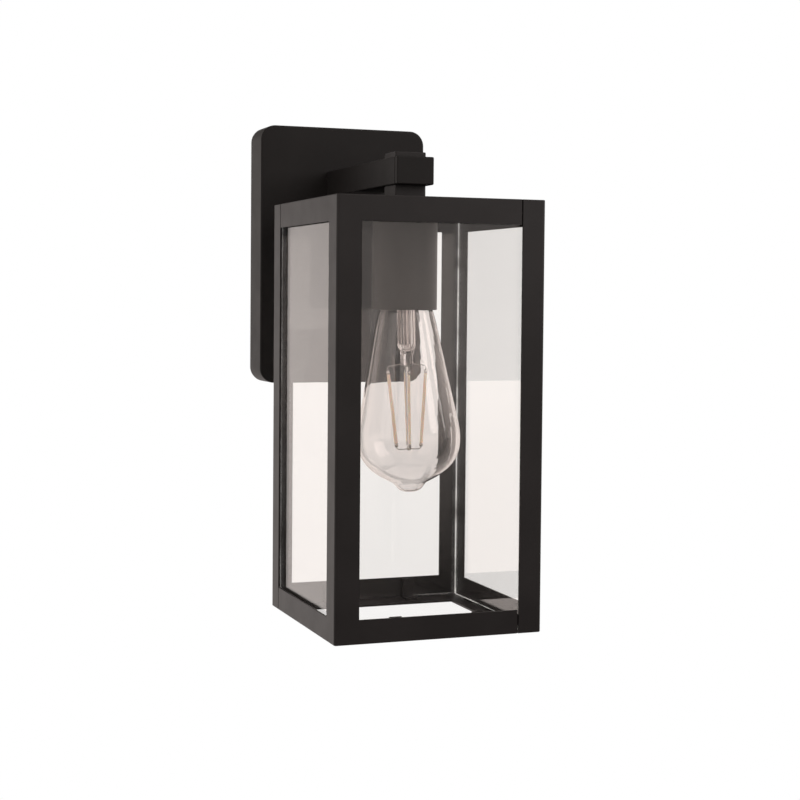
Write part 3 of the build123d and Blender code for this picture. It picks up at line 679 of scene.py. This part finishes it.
# %% Lamp glass
GLASS_WALL = 0.8
SOFT_CREASE = 60
OUTSIDE_MARKS = [(0, 0), (3.6, 0.35), (6.6, 1.6), (8.7, 3.8), (10.2, 5.6), (13.0, 7.2), (17.4, 9.6),
                 (21.8, 12.5), (25.4, 15.8), (28.9, 20.4), (31.2, 26.2), (32.0, 33.0), (31.6, 39.5),
                 (30.3, 46.5), (28.0, 58.0), (24.2, 77.0), (20.5, 96.0), (17.6, 109.5), (15.6, 115.0), (13.2, 118.3),
                 (12.2, 120.0), (12.0, 123.0)]


def lamp_glass():
    """The blown envelope, one closed skin with an inside and an outside."""
    outside = smooth_through(OUTSIDE_MARKS)
    inside = inset_line(outside, GLASS_WALL)
    bm = turn_shape(bmesh.new(), outside + inside[::-1], steps=128)
    return finish_piece("lamp_envelope", bm, [LAMP_GLASS], "bulb", ["bulb_glass"],
                        lamp_seat, SOFT_CREASE)


lamp_glass()

# %% [markdown]
# ## Lamp cap and holder shell
# The cap is thin metal with a rolled round thread, 3.6 mm a turn. A stack of rings would not climb, so the
# radius follows a wave of height and angle together, which is a true screw line. The brass shell in the
# holder is rolled with the same wave, so the lamp's thread lies in the shell's thread while it turns.

# %% Lamp cap and holder shell
THREAD_PITCH = 3.629
CAP_ROOT = 12.3
CAP_THREAD = 0.8
CAP_THREAD_LOW = 121.2
CAP_THREAD_HIGH = 139.4
CAP_STEP = 0.36
SHELL_STEP = 0.4
SHELL_BORE = 13.95
SHELL_THREAD = 0.6
SHELL_WALL = 0.4
cap_mm = CAP_LOW / MM


def thread_wave(height, angle):
    """0 in the thread's root, 1 on its crest; the crest climbs as the angle grows."""
    return 0.5 + 0.5 * math.cos(2 * math.pi * height / THREAD_PITCH - angle)


def fade(height, low, high, run=1.6):
    """Lets the thread run out at both ends."""
    return max(0, min(1, (height - low) / run, (high - height) / run))


def spaced(low, high, step):
    """Even heights from low to high."""
    count = round((high - low) / step)
    return [low + (high - low) * k / count for k in range(count + 1)]


def cap_swell(radius, height, angle):
    """The cap's rolled thread, outside only."""
    if abs(radius - CAP_ROOT) > 1e-3:
        return 0
    return CAP_THREAD * thread_wave(height, angle) * fade(height, CAP_THREAD_LOW, CAP_THREAD_HIGH)


def lamp_cap():
    """Rolled cap: rounded skirt, thread, closing cone, and the wall's inside."""
    skirt = [(12.35, cap_mm), (12.75, cap_mm), (12.95, cap_mm + 0.3), (12.9, cap_mm + 1.0),
             (12.5, cap_mm + 1.8)]
    thread = [(CAP_ROOT, h) for h in spaced(CAP_THREAD_LOW, CAP_THREAD_HIGH, CAP_STEP)]
    top = [(11.9, 140.6), (10.6, 142.0), (8.9, 143.4), (8.2, 143.4), (8.2, 142.5)]
    inside = [(11.1, 139.6), (11.5, 138.4), (11.5, 124.6), (12.35, 123.8)]
    bm = turn_shape(bmesh.new(), skirt + thread + top + inside, swell=cap_swell)
    return finish_piece("lamp_cap", bm, [NICKEL], "bulb", ["bulb_cap"], lamp_seat, 50)


def holder_thread_shell():
    """Brass shell with the same thread; lamp heights are turned into the holder's own."""
    low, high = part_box("holder_shell")
    lift = (low.z + PIVOT_HEIGHT - lamp_pivot.z) / MM
    tall = (high.z - low.z) / MM
    inside = [(SHELL_BORE, h) for h in spaced(lift, lift + tall, SHELL_STEP)]

    def swell(radius, height, angle):
        run = fade(height, lift, lift + tall, 2.0)
        return (thread_wave(height, angle) - 1) * SHELL_THREAD * run

    outside = [(SHELL_BORE + SHELL_WALL, h) for h in spaced(lift, lift + tall, SHELL_STEP)]
    bm = turn_shape(bmesh.new(), inside + outside[::-1], swell=swell)
    place = Matrix.Translation((lamp_pivot.x, lamp_pivot.y, lamp_pivot.z - PIVOT_HEIGHT))
    return finish_piece("holder_thread_shell", bm, [BRASS], "lantern", ["holder_shell"], place, 60)


lamp_cap()
holder_thread_shell()

# %% [markdown]
# ## Lamp stem
# Inside the neck a glass flare carries a tube whose end is pressed flat round the wires: the pinch.
# A thin exhaust tube runs up its middle and a glass rod hangs below with a small button at its foot.
# The tube and its pinch are one turned shape with two radii, round above and flat below.

# %% Lamp stem
PINCH_LOW = 78.0
ROD_LOW = 25.6


def lamp_stem():
    """Flare, tube and pinch as one closed skin, with the exhaust tube and the rod."""
    outside = [(0, 0, PINCH_LOW), (2.6, 0.8, PINCH_LOW + 0.1), (3.7, 1.35, PINCH_LOW + 0.6), (4.0, 1.6, 79.6),
               (4.0, 1.65, 83.6), (4.3, 2.1, 85.4), (5.0, 3.3, 87.2), (5.6, 4.6, 89.0), (5.9, 5.9, 91.5)]
    outside += [(5.9, 5.9, h) for h in (98, 106, 113, 116.5)]
    outside += [(6.2, 6.2, 118.4), (7.2, 7.2, 119.7), (9.3, 9.3, 120.6), (11.1, 11.1, 121.2),
                (11.1, 11.1, 122.4)]
    inside = [(8.9, 8.9, 121.8), (6.4, 6.4, 120.8), (5.2, 5.2, 119.2), (4.9, 4.9, 117)]
    inside += [(4.9, 4.9, h) for h in (108, 98, 92.5)]
    inside += [(4.4, 3.7, 90.2), (3.0, 2.2, 88.6), (0, 0, 88.0)]
    bm = turn_shape(bmesh.new(), outside + inside, steps=64)
    turn_shape(bm, [(1.0, 89.4), (1.7, 89.4), (1.7, 121.5), (1.0, 121.5)], steps=32)
    rod = [(0, ROD_LOW), (0.9, ROD_LOW + 0.25), (1.4, ROD_LOW + 1.0), (1.25, ROD_LOW + 1.9),
           (1.0, ROD_LOW + 2.8), (1.0, PINCH_LOW - 0.6), (0.7, PINCH_LOW - 0.15), (0, PINCH_LOW - 0.1)]
    turn_shape(bm, rod, steps=32)
    return finish_piece("lamp_stem", bm, [LAMP_GLASS], "bulb", ["bulb_stem"], lamp_seat,
                        SOFT_CREASE)


lamp_stem()

# %% [markdown]
# ## Filaments: a ring of pieces with Geometry Nodes
# The four filament sticks, their metal ends and their wires all repeat round the lamp's axis. One tree
# does it: it takes one piece, sets copies on a circle, leans them outwards and turns the ring. Its inputs
# are the count, the ring's radius and height, the lean and the turn. The same tree then sets the
# teeth of the two lock washers.

# %% The ring tree
def new_tree(name, *inputs):
    """A node tree with named number inputs, a geometry in and out and a material input."""
    tree = bpy.data.node_groups.new(name, "GeometryNodeTree")
    tree.interface.new_socket("Piece", in_out="INPUT", socket_type="NodeSocketGeometry")
    for label, kind in inputs:
        tree.interface.new_socket(label, in_out="INPUT", socket_type=kind)
    tree.interface.new_socket("Finish", in_out="INPUT", socket_type="NodeSocketMaterial")
    tree.interface.new_socket("Result", in_out="OUTPUT", socket_type="NodeSocketGeometry")
    return tree, tree.nodes.new("NodeGroupInput"), tree.nodes.new("NodeGroupOutput")


def math_step(tree, operation, a, b=None):
    """A math node; a and b are sockets or numbers."""
    node = add_node(tree, "ShaderNodeMath", operation)
    for k, value in enumerate((a, b)):
        if value is None:
            continue
        if isinstance(value, (int, float)):
            node.inputs[k].default_value = value
        else:
            tree.links.new(value, node.inputs[k])
    return node.outputs[0]


def close_tree(tree, given, result, instances):
    """Realize the copies, give them their finish and hand them out."""
    real = tree.nodes.new("GeometryNodeRealizeInstances")
    paint = tree.nodes.new("GeometryNodeSetMaterial")
    tree.links.new(instances, real.inputs[0])
    tree.links.new(real.outputs[0], paint.inputs["Geometry"])
    tree.links.new(given.outputs["Finish"], paint.inputs["Material"])
    tree.links.new(paint.outputs[0], result.inputs[0])


def build_ring_tree():
    """Copies of a piece on a circle about Z."""
    number = "NodeSocketFloat"
    tree, given, result = new_tree("ring_of_pieces", ("Count", "NodeSocketInt"), ("Ring Radius", number),
                                   ("Height", number), ("Lean", number), ("Turn", number))
    points = tree.nodes.new("GeometryNodePoints")
    tree.links.new(given.outputs["Count"], points.inputs["Count"])
    index = tree.nodes.new("GeometryNodeInputIndex")
    share = math_step(tree, "DIVIDE", index.outputs[0], given.outputs["Count"])
    angle = math_step(tree, "ADD", math_step(tree, "MULTIPLY", share, 2 * math.pi), given.outputs["Turn"])
    place = tree.nodes.new("ShaderNodeCombineXYZ")
    for axis, operation in (("X", "COSINE"), ("Y", "SINE")):
        reach = math_step(tree, "MULTIPLY", math_step(tree, operation, angle), given.outputs["Ring Radius"])
        tree.links.new(reach, place.inputs[axis])
    tree.links.new(given.outputs["Height"], place.inputs["Z"])
    tree.links.new(place.outputs[0], points.inputs["Position"])
    turned = tree.nodes.new("ShaderNodeCombineXYZ")
    tree.links.new(given.outputs["Lean"], turned.inputs["Y"])
    tree.links.new(angle, turned.inputs["Z"])
    copies = tree.nodes.new("GeometryNodeInstanceOnPoints")
    tree.links.new(points.outputs[0], copies.inputs["Points"])
    tree.links.new(given.outputs["Piece"], copies.inputs["Instance"])
    tree.links.new(turned.outputs[0], copies.inputs["Rotation"])
    close_tree(tree, given, result, copies.outputs[0])
    return tree


def grow(name, bm, tree, values, material, body, stands_for=(), place=None, crease=35):
    """Run a tree on one piece and keep the result as a plain mesh."""
    bmesh.ops.remove_doubles(bm, verts=bm.verts, dist=1e-6)
    bmesh.ops.recalc_face_normals(bm, faces=bm.faces)
    seed = bpy.data.meshes.new(name + "_one")
    bm.to_mesh(seed)
    bm.free()
    maker = bpy.data.objects.new(name + "_maker", seed)
    scene.collection.objects.link(maker)
    modifier = maker.modifiers.new("maker", "NODES")
    modifier.node_group = tree
    sockets = {item.name: item.identifier for item in tree.interface.items_tree
               if item.item_type == "SOCKET" and item.in_out == "INPUT"}
    for label, value in {**values, "Finish": material}.items():
        modifier[sockets[label]] = value
    graph = bpy.context.evaluated_depsgraph_get()
    mesh = bpy.data.meshes.new_from_object(maker.evaluated_get(graph), depsgraph=graph)
    maker.modifiers.remove(modifier)
    bpy.data.objects.remove(maker)
    if place is not None:
        mesh.transform(place)
    return place_piece(name, mesh, [material], body, stands_for, crease)


RING = build_ring_tree()

# %% [markdown]
# ## Filament sticks and their wires
# A stick is a thin strip in a soft phosphor coat with a metal end at each side. It leans outwards, wide at
# the top and narrow at the foot. One wire goes from the pinch to each stick's top, and a short one ties
# its foot to the rod. The one stick, its ends and its wires are made here, then set in the ring.

# %% Filament sticks, ends and wires
STICK_TOP = (11.8, 76.0)
STICK_FOOT = (7.6, 28.0)
STICK_TURN = math.radians(-15)
STICKS = 4
STICK_WIRE = 0.3
FEED_WIRE = 0.28
stick_out = (STICK_TOP[0] + STICK_FOOT[0]) / 2
stick_middle = (STICK_TOP[1] + STICK_FOOT[1]) / 2
stick_lean = math.atan2(STICK_TOP[0] - STICK_FOOT[0], STICK_TOP[1] - STICK_FOOT[1])
stick_half = math.hypot(STICK_TOP[0] - STICK_FOOT[0], STICK_TOP[1] - STICK_FOOT[1]) / 2
stick_ring = {"Count": STICKS, "Ring Radius": stick_out * MM, "Height": stick_middle * MM,
              "Lean": stick_lean, "Turn": STICK_TURN}
upright_ring = {"Count": STICKS, "Ring Radius": 0.0, "Height": 0.0, "Lean": 0.0, "Turn": STICK_TURN}


def stick_coat():
    """The soft coat of one stick, rounded and a little flat."""
    end = stick_half - 1.2
    rounds = [(0.5, 0.4, end), (0.9, 0.68, end - 0.4), (1.0, 0.78, end - 1.0)]
    shape = [(0, 0, -end - 0.1)] + [(x, y, -h) for x, y, h in rounds]
    shape += [(1.0, 0.78, h) for h in (-10, 0, 10)]
    shape += [(x, y, h) for x, y, h in reversed(rounds)] + [(0, 0, end + 0.1)]
    return turn_shape(bmesh.new(), shape, steps=20)


def stick_ends():
    """Pressed metal ends of one stick."""
    bm = bmesh.new()
    for side in (-1, 1):
        low, high = sorted((side * (stick_half - 2.6), side * (stick_half - 0.1)))
        turn_shape(bm, [(1.03, 0.81, low), (1.1, 0.88, low + 0.3), (1.1, 0.88, high - 0.4), (0.6, 0.5, high),
                        (0, 0, high), (0, 0, high - 0.6), (1.02, 0.8, high - 0.6)], steps=20)
    return bm


def stick_wires():
    """Wire from the pinch to a stick's top, and the short one at its foot."""
    bm = bmesh.new()
    top = [(1.6, 0, 82.5), (3.2, 0, 80.4), (5.4, 0, 79.2), (8.6, 0, 78.7), (10.9, 0, 78.2),
           (11.8, 0, 77.2), (11.8, 0, 75.9)]
    foot = [(0.8, 0, 27.0), (2.6, 0, 26.6), (5.2, 0, 26.5), (7.0, 0, 26.9), (7.55, 0, 27.6), (7.65, 0, 28.4)]
    for marks in (top, foot):
        sweep_wire(bm, smooth_path(marks), STICK_WIRE)
    return bm


grow("filament_sticks", stick_coat(), RING, stick_ring, PHOSPHOR_PAINTED_GLOW, "bulb", ["bulb_filaments"],
     lamp_seat, SOFT_CREASE)
grow("filament_ends", stick_ends(), RING, stick_ring, NICKEL, "bulb", (), lamp_seat, 50)
grow("filament_wires", stick_wires(), RING, upright_ring, NICKEL, "bulb", ["bulb_leads"],
     lamp_seat, SOFT_CREASE)


def feed_wires():
    """The two wires inside the stem, from the pinch up into the cap."""
    bm = bmesh.new()
    for side in (-1, 1):
        marks = [(2.2, 79.5), (2.3, 84), (2.9, 92), (3.3, 104), (3.2, 121), (5.4, 130), (5.6, 138)]
        sweep_wire(bm, smooth_path([(side * out, 0, h) for out, h in marks]), FEED_WIRE)
    return finish_piece("lamp_feed_wires", bm, [NICKEL], "bulb", (), lamp_seat, SOFT_CREASE)


feed_wires()

# %% [markdown]
# ## Lock washers
# Two toothed washers keep the nuts on the hollow threads from working loose. Each is a flat stamped ring
# with teeth twisted out of its plane, which is how such washers bite. The ring is turned, and one twisted
# tooth is set round it by the ring tree.

# %% Lock washers
WASHER_BORE = 5.05
WASHER_BAND = 7.5
WASHER_EDGE = 9.0
WASHER_THICK = 0.8
WASHER_SETBACK = 0.12     # the ring is this much thinner than its teeth stand, on each side
EDGE_BREAK = 0.08
TOOTH_WIDE = 1.5
TOOTH_THICK = 0.46
TOOTH_TWIST = math.radians(11)
TOOTH_ROOT = 0.2          # how far a tooth is rooted in the ring
TOOTH_SHY = 0.05          # keeps the twisted corners inside the washer's own edge
TOOTH_BREAK = 0.06
TEETH = 14


def washer_place(node):
    """Matrix that sets a washer lying on the XY plane into its node's box."""
    low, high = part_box(node)
    thin = min(range(3), key=lambda axis: (high - low)[axis])
    turn = Matrix.Rotation(math.radians(90), 4, "X") if thin == 1 else Matrix()
    return Matrix.Translation((low + high) / 2) @ turn


def lock_washer(name, node):
    """Stamped ring and its twisted teeth."""
    place = washer_place(node)
    flat = WASHER_THICK / 2 - WASHER_SETBACK
    outline = [(WASHER_BORE, -flat + EDGE_BREAK), (WASHER_BORE + EDGE_BREAK, -flat), (WASHER_BAND, -flat),
               (WASHER_BAND, flat), (WASHER_BORE + EDGE_BREAK, flat), (WASHER_BORE, flat - EDGE_BREAK)]
    ring = turn_shape(bmesh.new(), outline, steps=72)
    finish_piece(name + "_ring", ring, [ZINC], "lantern", [node], place, 50)
    tooth = bmesh.new()
    span = WASHER_EDGE - WASHER_BAND + TOOTH_ROOT
    shape = Matrix.Rotation(TOOTH_TWIST, 4, "X") @ Matrix.Diagonal(
        (span * MM, TOOTH_WIDE * MM, TOOTH_THICK * MM, 1))
    bmesh.ops.create_cube(tooth, size=1.0, matrix=shape)
    bmesh.ops.bevel(tooth, geom=list(tooth.edges), offset=TOOTH_BREAK * MM, segments=1, affect="EDGES")
    middle = (WASHER_EDGE + WASHER_BAND - TOOTH_ROOT) / 2 - TOOTH_SHY
    values = {"Count": TEETH, "Ring Radius": middle * MM, "Height": 0.0, "Lean": 0.0, "Turn": 0.0}
    grow(name + "_teeth", tooth, RING, values, ZINC, "lantern", (), place, 30)


lock_washer("arm_washer", "arm_lock_washer")
lock_washer("holder_washer", "holder_lock_washer")

# %% [markdown]
# ## Glass tabs and pads: pairs on the walls with Geometry Nodes
# The clips and the rubber pads sit in pairs on the ledges, the same on each wall. A second tree takes the
# piece made for the front wall, sets it at plus and minus an offset, and turns the pair to each wall. Its
# inputs are the number of walls and the offset. The clip is bent sheet with a real bend, not a square L.

# %% The wall pairs tree
def build_pairs_tree():
    """Pairs of a piece at plus and minus an offset, turned to a number of walls."""
    tree, given, result = new_tree("pairs_on_walls", ("Walls", "NodeSocketInt"),
                                   ("Offset", "NodeSocketFloat"))
    points = tree.nodes.new("GeometryNodePoints")
    tree.links.new(math_step(tree, "MULTIPLY", given.outputs["Walls"], 2), points.inputs["Count"])
    index = tree.nodes.new("GeometryNodeInputIndex")
    wall = math_step(tree, "FLOOR", math_step(tree, "DIVIDE", index.outputs[0], 2))
    odd = math_step(tree, "MODULO", index.outputs[0], 2)
    side = math_step(tree, "SUBTRACT", math_step(tree, "MULTIPLY", odd, 2), 1)
    turn = math_step(tree, "DIVIDE", math_step(tree, "MULTIPLY", wall, 2 * math.pi), given.outputs["Walls"])
    reach = math_step(tree, "MULTIPLY", side, given.outputs["Offset"])
    place = tree.nodes.new("ShaderNodeCombineXYZ")
    tree.links.new(math_step(tree, "MULTIPLY", reach, math_step(tree, "COSINE", turn)), place.inputs["X"])
    tree.links.new(math_step(tree, "MULTIPLY", reach, math_step(tree, "SINE", turn)), place.inputs["Y"])
    tree.links.new(place.outputs[0], points.inputs["Position"])
    turned = tree.nodes.new("ShaderNodeCombineXYZ")
    tree.links.new(turn, turned.inputs["Z"])
    copies = tree.nodes.new("GeometryNodeInstanceOnPoints")
    tree.links.new(points.outputs[0], copies.inputs["Points"])
    tree.links.new(given.outputs["Piece"], copies.inputs["Instance"])
    tree.links.new(turned.outputs[0], copies.inputs["Rotation"])
    close_tree(tree, given, result, copies.outputs[0])
    return tree


PAIRS = build_pairs_tree()
TAB_WIDE = 7.5
TAB_THICK = 1.0
TAB_FOOT = 8.0
TAB_OFFSET = 26.0
TAB_BEND = 1.3
TAB_TIP = 0.3
BEND_STEPS = 6
PAD_OFFSET = 36.0
PAD_WIDE = 10.0
PAD_DEEP = 3.4
PAD_ROUND = 0.15


def bend_line(y, z, radius, start, sweep):
    """Points of a quarter bend about (y, z)."""
    angles = [math.radians(start + sweep * k / BEND_STEPS) for k in range(BEND_STEPS + 1)]
    return [(y + radius * math.cos(angle), z + radius * math.sin(angle)) for angle in angles]


def bent_tab(low_y, low_z, high_z):
    """One clip: a foot, a round bend and an upright, in millimetres from the body's axis."""
    profile = [(low_y + TAB_FOOT, low_z), (low_y + TAB_FOOT, low_z + TAB_THICK)]
    profile += bend_line(low_y + TAB_BEND, low_z + TAB_BEND, TAB_BEND - TAB_THICK, 270, -90)
    profile += [(low_y + TAB_THICK, high_z - TAB_TIP), (low_y + TAB_THICK - TAB_TIP, high_z), (low_y, high_z)]
    profile += bend_line(low_y + TAB_BEND, low_z + TAB_BEND, TAB_BEND, 180, 90)
    bm = bmesh.new()
    sides = []
    for x in (-TAB_WIDE / 2, TAB_WIDE / 2):
        sides.append([bm.verts.new((x * MM, y * MM, z * MM)) for y, z in profile])
    for k in range(len(profile)):
        after = (k + 1) % len(profile)
        bm.faces.new([sides[0][k], sides[0][after], sides[1][after], sides[1][k]])
    bm.faces.new(sides[0])
    bm.faces.new(sides[1][::-1])
    return bm


def wall_pairs():
    """Clips on the front and back ledges and pads under all four panes, sized from their nodes."""
    axis_place = Matrix.Translation((0, axis_y, 0))
    low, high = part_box("glass_tabs")
    bm = bent_tab((low.y - axis_y) / MM, low.z / MM, high.z / MM)
    grow("pane_clips", bm, PAIRS, {"Walls": 2, "Offset": TAB_OFFSET * MM}, BLACK_COAT, "lantern",
         ["glass_tabs"], axis_place, 30)
    low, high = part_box("glass_pads")
    pad = bmesh.new()
    size = (PAD_WIDE * MM, PAD_DEEP * MM, high.z - low.z)
    middle = Vector((0, low.y - axis_y + size[1] / 2, (low.z + high.z) / 2))
    bmesh.ops.create_cube(pad, size=1.0, matrix=Matrix.Translation(middle) @ Matrix.Diagonal((*size, 1)))
    bmesh.ops.bevel(pad, geom=list(pad.edges), offset=PAD_ROUND * MM, segments=2, affect="EDGES")
    grow("pane_pads", pad, PAIRS, {"Walls": 4, "Offset": PAD_OFFSET * MM}, RUBBER, "lantern", ["glass_pads"],
         axis_place, 40)


wall_pairs()
